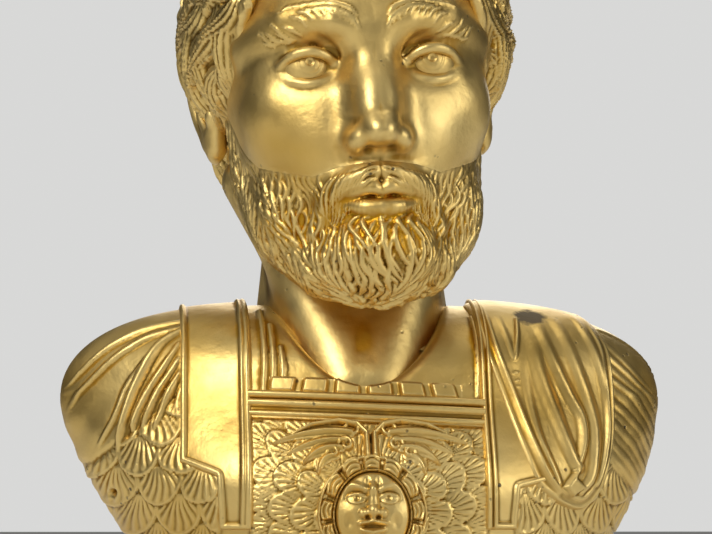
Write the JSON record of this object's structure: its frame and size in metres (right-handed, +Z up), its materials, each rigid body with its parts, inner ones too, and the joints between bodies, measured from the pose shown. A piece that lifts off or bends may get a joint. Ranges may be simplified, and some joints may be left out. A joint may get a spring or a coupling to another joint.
{
  "type": "roman emperor bust",
  "caption": "Hammered gold bust of a bearded Roman emperor in a scale cuirass with a mask on the breast, cut flat below to stand on its base.",
  "frame": {"origin": "middle of the bounding box on the flat underside", "axes": "+Z up from the underside to the crown, -Y out of the face, +X to the viewer's right"},
  "size_m": [0.2658, 0.1968, 0.3313],
  "materials": {
    "gold": "satin hammered gold sheet"
  },
  "bodies": {
    "root": {"gold_bust": "gold"}
  },
  "joints": []
}
